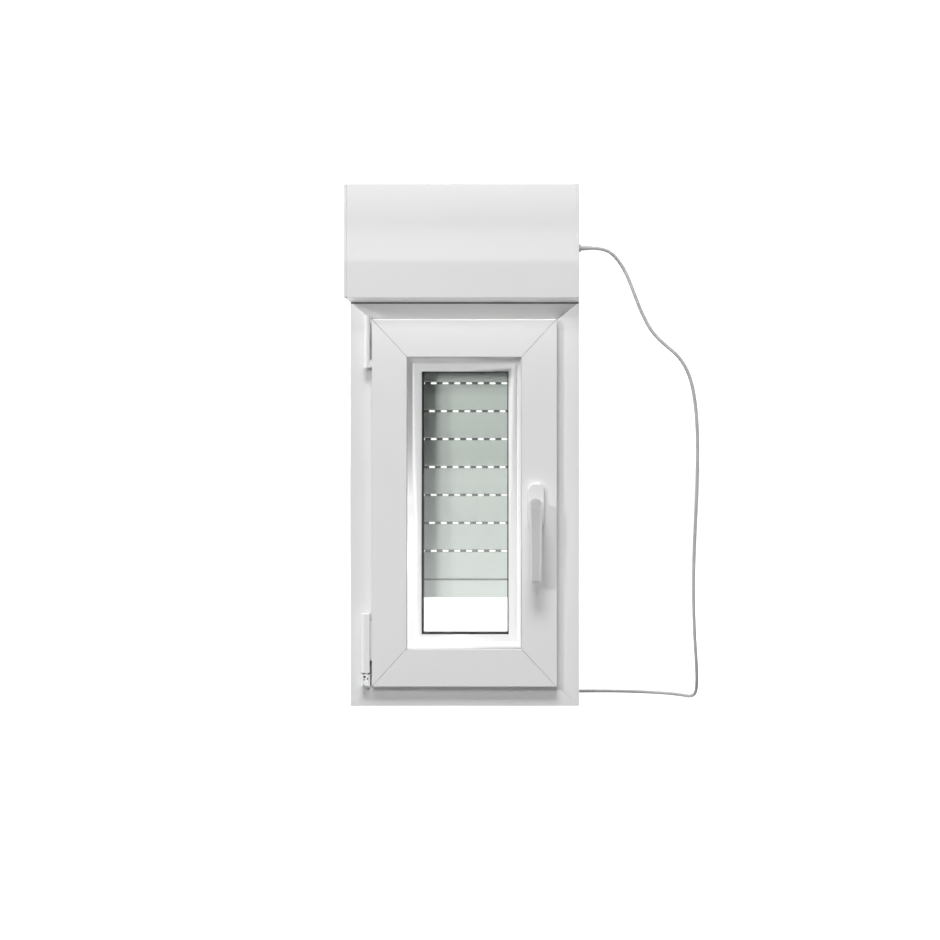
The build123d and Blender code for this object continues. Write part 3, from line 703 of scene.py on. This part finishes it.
def make_hangers(hangers):
    """Spring strips: a copy of the hangers, cut across at even steps between where they leave the tube and
    where they meet the top slat.
    """
    bpy.context.view_layer.update()
    strips = bpy.data.objects.new("hanger_strips", hangers.data.copy())
    bpy.context.scene.collection.objects.link(strips)
    strips.data.transform(hangers.matrix_world)
    mesh = bmesh.new()
    mesh.from_mesh(strips.data)
    start, end = Vector(HANGER_ON_TUBE), Vector(HANGER_ON_SLAT)
    for i in range(HANGER_CUTS + 1):
        everything = mesh.verts[:] + mesh.edges[:] + mesh.faces[:]
        cut = start.lerp(end, i / HANGER_CUTS)
        bmesh.ops.bisect_plane(mesh, geom=everything, plane_co=cut, plane_no=end - start)
    mesh.to_mesh(strips.data)
    mesh.free()
    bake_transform(strips)
    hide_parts("hangers")


def squash_curtain(nodes):
    """Gives each slat its own copy of its mesh."""
    for name, obj in nodes.items():
        if name.startswith("slat"):
            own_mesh(obj)


# ---------------------------------------------------------------- stage


def area_light(name, place, target, size, energy):
    data = bpy.data.lights.new(name, "AREA")
    data.shape = "RECTANGLE"
    data.size, data.size_y = size
    data.energy = energy
    obj = bpy.data.objects.new(name, data)
    obj.visible_transmission = False
    obj.location = place
    obj.rotation_mode = "QUATERNION"
    obj.rotation_quaternion = (Vector(target) - Vector(place)).to_track_quat("-Z", "Y")
    bpy.context.scene.collection.objects.link(obj)
    return obj


def make_world():
    """A white backdrop, which lights the outdoor side less than it shows, and the room side least."""
    world = bpy.data.worlds.new("studio")
    world.use_nodes = True
    bpy.context.scene.world = world
    tree = world.node_tree
    background = tree.nodes["Background"]
    coordinates = tree.nodes.new("ShaderNodeTexCoord")
    split = tree.nodes.new("ShaderNodeSeparateXYZ")
    tree.links.new(coordinates.outputs["Generated"], split.inputs["Vector"])
    glow = tree.nodes.new("ShaderNodeMapRange")
    glow.inputs["From Min"].default_value = -GLOW_BLEND
    glow.inputs["From Max"].default_value = GLOW_BLEND
    glow.inputs["To Min"].default_value = ROOM_GLOW
    glow.inputs["To Max"].default_value = OUTDOOR_GLOW
    tree.links.new(split.outputs["Y"], glow.inputs["Value"])
    path = tree.nodes.new("ShaderNodeLightPath")
    seen = tree.nodes.new("ShaderNodeMapRange")
    tree.links.new(path.outputs["Is Camera Ray"], seen.inputs["Value"])
    tree.links.new(glow.outputs["Result"], seen.inputs["To Min"])
    seen.inputs["To Max"].default_value = BACKDROP_GLOW
    tree.links.new(seen.outputs["Result"], background.inputs["Strength"])
    background.inputs["Color"].default_value = (1, 1, 1, 1)


def make_floor():
    """Plain white floor, which shows contact shadows but throws no diffuse light up at the window."""
    mesh = bpy.data.meshes.new("floor")
    corners = [(x * FLOOR_REACH, y * FLOOR_REACH, 0) for x, y in ((-1, -1), (1, -1), (1, 1), (-1, 1))]
    mesh.from_pydata(corners, [], [(0, 1, 2, 3)])
    floor = bpy.data.objects.new("floor", mesh)
    bpy.context.scene.collection.objects.link(floor)
    material, _, shader = new_material("floor")
    shader.inputs["Base Color"].default_value = (0.8, 0.8, 0.8, 1)
    shader.inputs["Roughness"].default_value = 0.9
    shader.inputs["Emission Color"].default_value = (1, 1, 1, 1)
    shader.inputs["Emission Strength"].default_value = FLOOR_GLOW
    mesh.materials.append(material)
    floor.location.z = -FLOOR_DROP
    floor.visible_diffuse = False


def make_camera():
    data = bpy.data.cameras.new("camera")
    data.lens = CAMERA_LENS
    data.sensor_width = 36
    data.shift_x, data.shift_y = CAMERA_SHIFT
    data.clip_end = 200
    camera = bpy.data.objects.new("camera", data)
    camera.location = CAMERA_PLACE
    camera.rotation_euler = (math.radians(90), 0, 0)
    bpy.context.scene.collection.objects.link(camera)
    bpy.context.scene.camera = camera


def link_light(name, linking, slot, objects, state):
    """Light linking with a collection of the objects that the lamp takes or leaves out."""
    group = bpy.data.collections.new(name)
    for obj in objects:
        group.objects.link(obj)
    setattr(linking, slot, group)
    for entry in group.collection_objects:
        entry.light_linking.link_state = state


# Lamps that light only some of the pieces: names that the piece's name starts with
LIT_BY = {
    "into_opening": ("slat", "end_slat"),
    "bead_fill": ("glazing_beads",),
    "rim_left": ("handle_lever", "hinge_bottom_cover", "hinge_top"),
    "rim_right": ("handle_lever",),
    "from_below": ("box_bottom_panel",),
}
# Pieces that the steep lamp leaves out: the head, which the box shades, the handle, for its bright rims,
# and the curtain, which has its own
NOT_LIT_FROM_ABOVE = ("frame_head", "handle_lever", "slat", "end_slat")


def make_lights():
    """Soft lamps all round; some are linked to a few pieces, as flags would do in a studio."""
    lamps = {name: area_light(name, *values) for name, values in LAMPS.items()}
    pieces = [obj for obj in bpy.data.objects if obj.type in ("MESH", "CURVE")]
    for name, starts in LIT_BY.items():
        chosen = [obj for obj in pieces if obj.name.startswith(starts)]
        link_light(f"{name}_lights", lamps[name].light_linking, "receiver_collection", chosen, "INCLUDE")
    steep = lamps["above"].light_linking
    box = [obj for obj in pieces if obj.name.startswith("box_")]
    shaded = [obj for obj in pieces if obj.name.startswith(NOT_LIT_FROM_ABOVE)]
    link_light("passed_by_steep_light", steep, "blocker_collection", box, "EXCLUDE")
    link_light("left_out_by_steep_light", steep, "receiver_collection", shaded, "EXCLUDE")


# ---------------------------------------------------------------- scene


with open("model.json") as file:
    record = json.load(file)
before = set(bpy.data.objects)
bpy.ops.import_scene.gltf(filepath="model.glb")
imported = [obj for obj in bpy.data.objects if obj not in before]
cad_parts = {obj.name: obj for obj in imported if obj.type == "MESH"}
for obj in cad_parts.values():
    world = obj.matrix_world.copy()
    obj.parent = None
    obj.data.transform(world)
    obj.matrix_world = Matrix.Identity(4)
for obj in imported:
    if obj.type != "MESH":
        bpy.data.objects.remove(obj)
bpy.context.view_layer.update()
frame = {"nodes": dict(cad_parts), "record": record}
bpy.context.scene.view_settings.view_transform = "Standard"
make_camera()
materials = make_materials()
dress_nodes(frame, materials)
make_cable(materials)
make_seams()
make_box_shade_strip(materials)
make_drain_caps(materials)
make_rosette_cover(materials)
make_hinge_screws(materials)
finish_edges(frame["nodes"])
squash_curtain(frame["nodes"])
make_hangers(frame["nodes"]["hangers"])
make_world()
make_floor()
make_lights()
